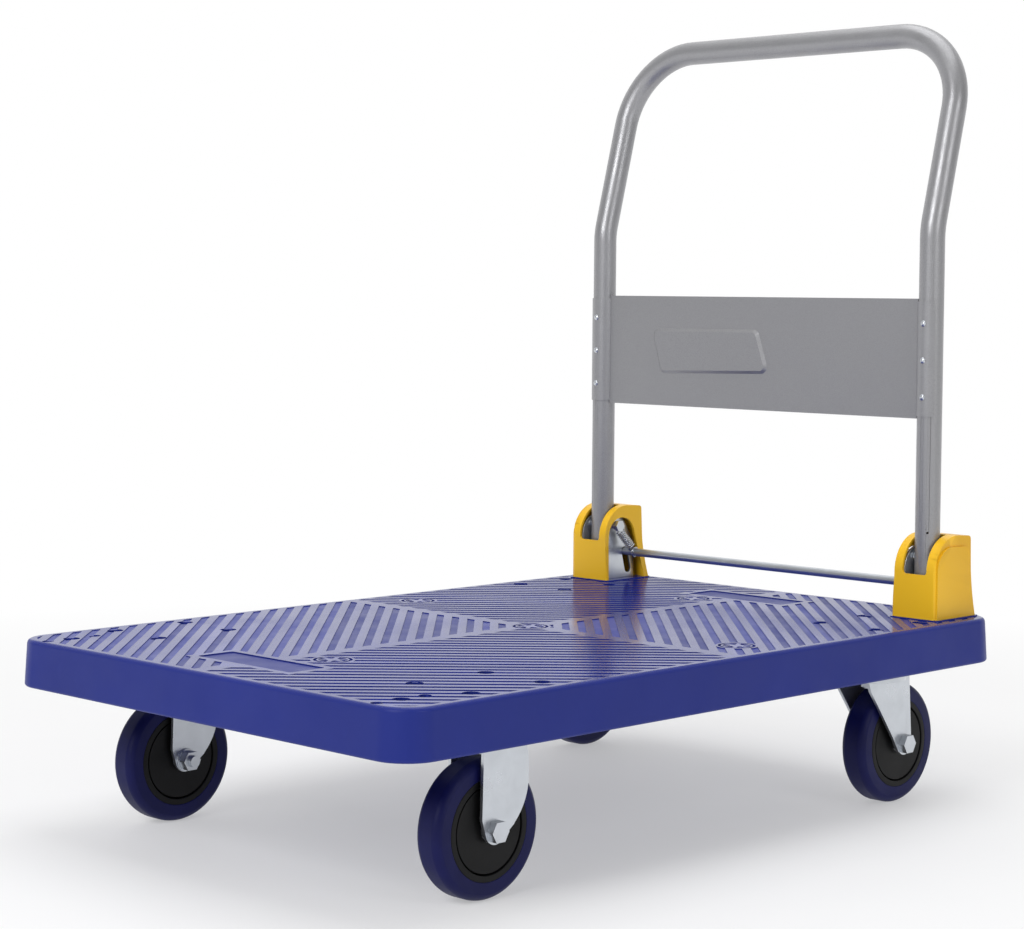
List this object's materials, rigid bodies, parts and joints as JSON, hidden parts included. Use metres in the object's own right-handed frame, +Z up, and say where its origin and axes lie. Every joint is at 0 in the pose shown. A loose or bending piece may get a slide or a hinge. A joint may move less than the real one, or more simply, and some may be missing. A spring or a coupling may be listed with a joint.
{
  "type": "platform_cart",
  "caption": "Folding platform cart: ribbed plastic deck, fold-down tubular handle with a sheet panel, foot release bar, fixed front and swivelling rear casters.",
  "frame": {"origin": "on the floor, under the middle of the upright cart's outline", "axes": "+Y along the cart's length from the fixed casters to the handle (the longest extent), +X to the right when looking along +Y, +Z up"},
  "size_m": [0.6036, 0.9166, 0.8735],
  "materials": {
    "deck_plastic": "satin moulded plastic with a slight sheen on the deck",
    "hinge_plastic": "satin yellow moulded plastic",
    "grey_paint": "silver-grey powder coat on steel",
    "tyre": "matte dark blue-black rubber",
    "wheel_core": "matte black moulded plastic",
    "zinc": "bright zinc-plated steel",
    "steel": "plain steel",
    "spring_steel": "bright plated spring wire"
  },
  "bodies": {
    "deck": {"bracket_nuts": "zinc", "bracket_screws": "zinc", "caster_bolts": "zinc", "caster_nuts": "zinc", "caster_washers": "zinc", "fixed_axle_bolts": "zinc", "fixed_axle_nuts": "zinc", "fixed_axle_spacers": "zinc", "fixed_axle_washers": "zinc", "fixed_fork_left": "zinc", "fixed_fork_right": "zinc", "hinge_bracket_left": "zinc", "hinge_bracket_right": "zinc", "hinge_cover_left": "hinge_plastic", "hinge_cover_right": "hinge_plastic", "kingpin_nuts": "zinc", "kingpins": "zinc", "pivot_bolts": "zinc", "pivot_nuts": "zinc", "platform": "deck_plastic", "return_spring_left": "spring_steel", "return_spring_right": "spring_steel", "swivel_plate_left": "zinc", "swivel_plate_right": "zinc"},
    "handle": {"handle_tube": "grey_paint", "handle_panel": "grey_paint", "panel_rivets": "zinc", "latch_plate_left": "steel", "latch_plate_right": "steel", "pivot_sleeves": "zinc"},
    "release_bar": {"release_bar": "zinc", "bar_clips": "zinc"},
    "swivel_left": {"swivel_fork_left": "zinc", "ball_ring_left": "steel", "swivel_axle_bolt_left": "zinc", "swivel_axle_washer_left": "zinc", "swivel_axle_nut_left": "zinc", "swivel_axle_spacer_left": "zinc"},
    "swivel_right": {"swivel_fork_right": "zinc", "ball_ring_right": "steel", "swivel_axle_bolt_right": "zinc", "swivel_axle_washer_right": "zinc", "swivel_axle_nut_right": "zinc", "swivel_axle_spacer_right": "zinc"},
    "wheel_front_left": {"wheel_tyre_front_left": "tyre", "wheel_core_front_left": "wheel_core", "wheel_discs_front_left": "wheel_core", "wheel_bearings_front_left": "steel"},
    "wheel_front_right": {"wheel_tyre_front_right": "tyre", "wheel_core_front_right": "wheel_core", "wheel_discs_front_right": "wheel_core", "wheel_bearings_front_right": "steel"},
    "wheel_rear_left": {"wheel_tyre_rear_left": "tyre", "wheel_core_rear_left": "wheel_core", "wheel_discs_rear_left": "wheel_core", "wheel_bearings_rear_left": "steel"},
    "wheel_rear_right": {"wheel_tyre_rear_right": "tyre", "wheel_core_rear_right": "wheel_core", "wheel_discs_rear_right": "wheel_core", "wheel_bearings_rear_right": "steel"}
  },
  "joints": [
    {"name": "handle_fold", "type": "hinge", "parent": "deck", "child": "handle", "pos_m": [0, 0.38462, 0.2705], "axis": [1, 0, 0], "range_deg": [0, 90]},
    {"name": "release_bar_slide", "type": "slide", "parent": "deck", "child": "release_bar", "axis": [0, 0.2588, -0.9659], "range_m": [0, 0.022], "stiffness_N_per_m": 3000, "springref_m": -0.005, "deforming": ["return_spring_left", "return_spring_right"]},
    {"name": "caster_swivel_left", "type": "hinge", "parent": "deck", "child": "swivel_left", "pos_m": [-0.2325, 0.30112, 0.15], "axis": [0, 0, 1], "continuous": true},
    {"name": "caster_swivel_right", "type": "hinge", "parent": "deck", "child": "swivel_right", "pos_m": [0.2325, 0.30112, 0.15], "axis": [0, 0, 1], "continuous": true},
    {"name": "wheel_spin_front_left", "type": "hinge", "parent": "deck", "child": "wheel_front_left", "pos_m": [-0.233, -0.30188, 0.067], "axis": [1, 0, 0], "continuous": true},
    {"name": "wheel_spin_front_right", "type": "hinge", "parent": "deck", "child": "wheel_front_right", "pos_m": [0.233, -0.30188, 0.067], "axis": [1, 0, 0], "continuous": true},
    {"name": "wheel_spin_rear_left", "type": "hinge", "parent": "swivel_left", "child": "wheel_rear_left", "pos_m": [-0.2325, 0.33612, 0.067], "axis": [1, 0, 0], "continuous": true},
    {"name": "wheel_spin_rear_right", "type": "hinge", "parent": "swivel_right", "child": "wheel_rear_right", "pos_m": [0.2325, 0.33612, 0.067], "axis": [1, 0, 0], "continuous": true}
  ]
}
